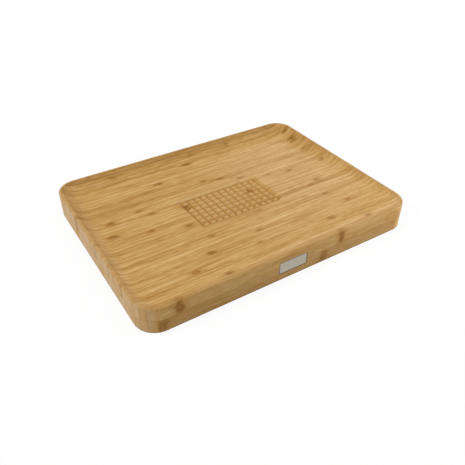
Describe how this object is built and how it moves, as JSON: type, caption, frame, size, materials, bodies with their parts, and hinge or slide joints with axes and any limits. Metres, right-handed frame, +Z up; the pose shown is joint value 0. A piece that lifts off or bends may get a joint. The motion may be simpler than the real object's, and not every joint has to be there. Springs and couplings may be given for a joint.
{
  "type": "carving board",
  "caption": "Bamboo carving board of glued staves: a dished top that falls to the back, a field of pyramid grips for the roast, and a plain steel plate in the front edge.",
  "frame": {"origin": "middle of the underside, on the surface that the board stands on", "axes": "+X along the length, +Y from the front edge with the plate to the deep end of the dish, +Z up"},
  "size_m": [0.4, 0.3, 0.038],
  "materials": {
    "bamboo": "satin oiled",
    "badge_steel": "brushed",
    "adhesive_pad": "matte"
  },
  "bodies": {
    "root": {"top_stave_01": "bamboo", "top_stave_02": "bamboo", "top_stave_03": "bamboo", "top_stave_04": "bamboo", "top_stave_05": "bamboo", "top_stave_06": "bamboo", "top_stave_07": "bamboo", "top_stave_08": "bamboo", "top_stave_09": "bamboo", "top_stave_10": "bamboo", "top_stave_11": "bamboo", "top_stave_12": "bamboo", "top_stave_13": "bamboo", "top_stave_14": "bamboo", "top_stave_15": "bamboo", "top_stave_16": "bamboo", "top_stave_17": "bamboo", "top_stave_18": "bamboo", "top_stave_19": "bamboo", "top_stave_20": "bamboo", "top_stave_21": "bamboo", "top_stave_22": "bamboo", "top_stave_23": "bamboo", "top_stave_24": "bamboo", "top_stave_25": "bamboo", "top_stave_26": "bamboo", "top_stave_27": "bamboo", "top_stave_28": "bamboo", "top_stave_29": "bamboo", "top_stave_30": "bamboo", "top_stave_31": "bamboo", "top_stave_32": "bamboo", "top_stave_33": "bamboo", "top_stave_34": "bamboo", "top_stave_35": "bamboo", "top_stave_36": "bamboo", "top_stave_37": "bamboo", "top_stave_38": "bamboo", "top_stave_39": "bamboo", "top_stave_40": "bamboo", "base_staves_01": "bamboo", "base_staves_02": "bamboo", "base_staves_03": "bamboo", "base_staves_04": "bamboo", "base_staves_05": "bamboo", "base_staves_06": "bamboo", "base_staves_07": "bamboo", "base_staves_08": "bamboo", "base_staves_09": "bamboo", "base_staves_10": "bamboo", "badge_plate": "badge_steel", "badge_adhesive_pad": "adhesive_pad"}
  },
  "joints": []
}
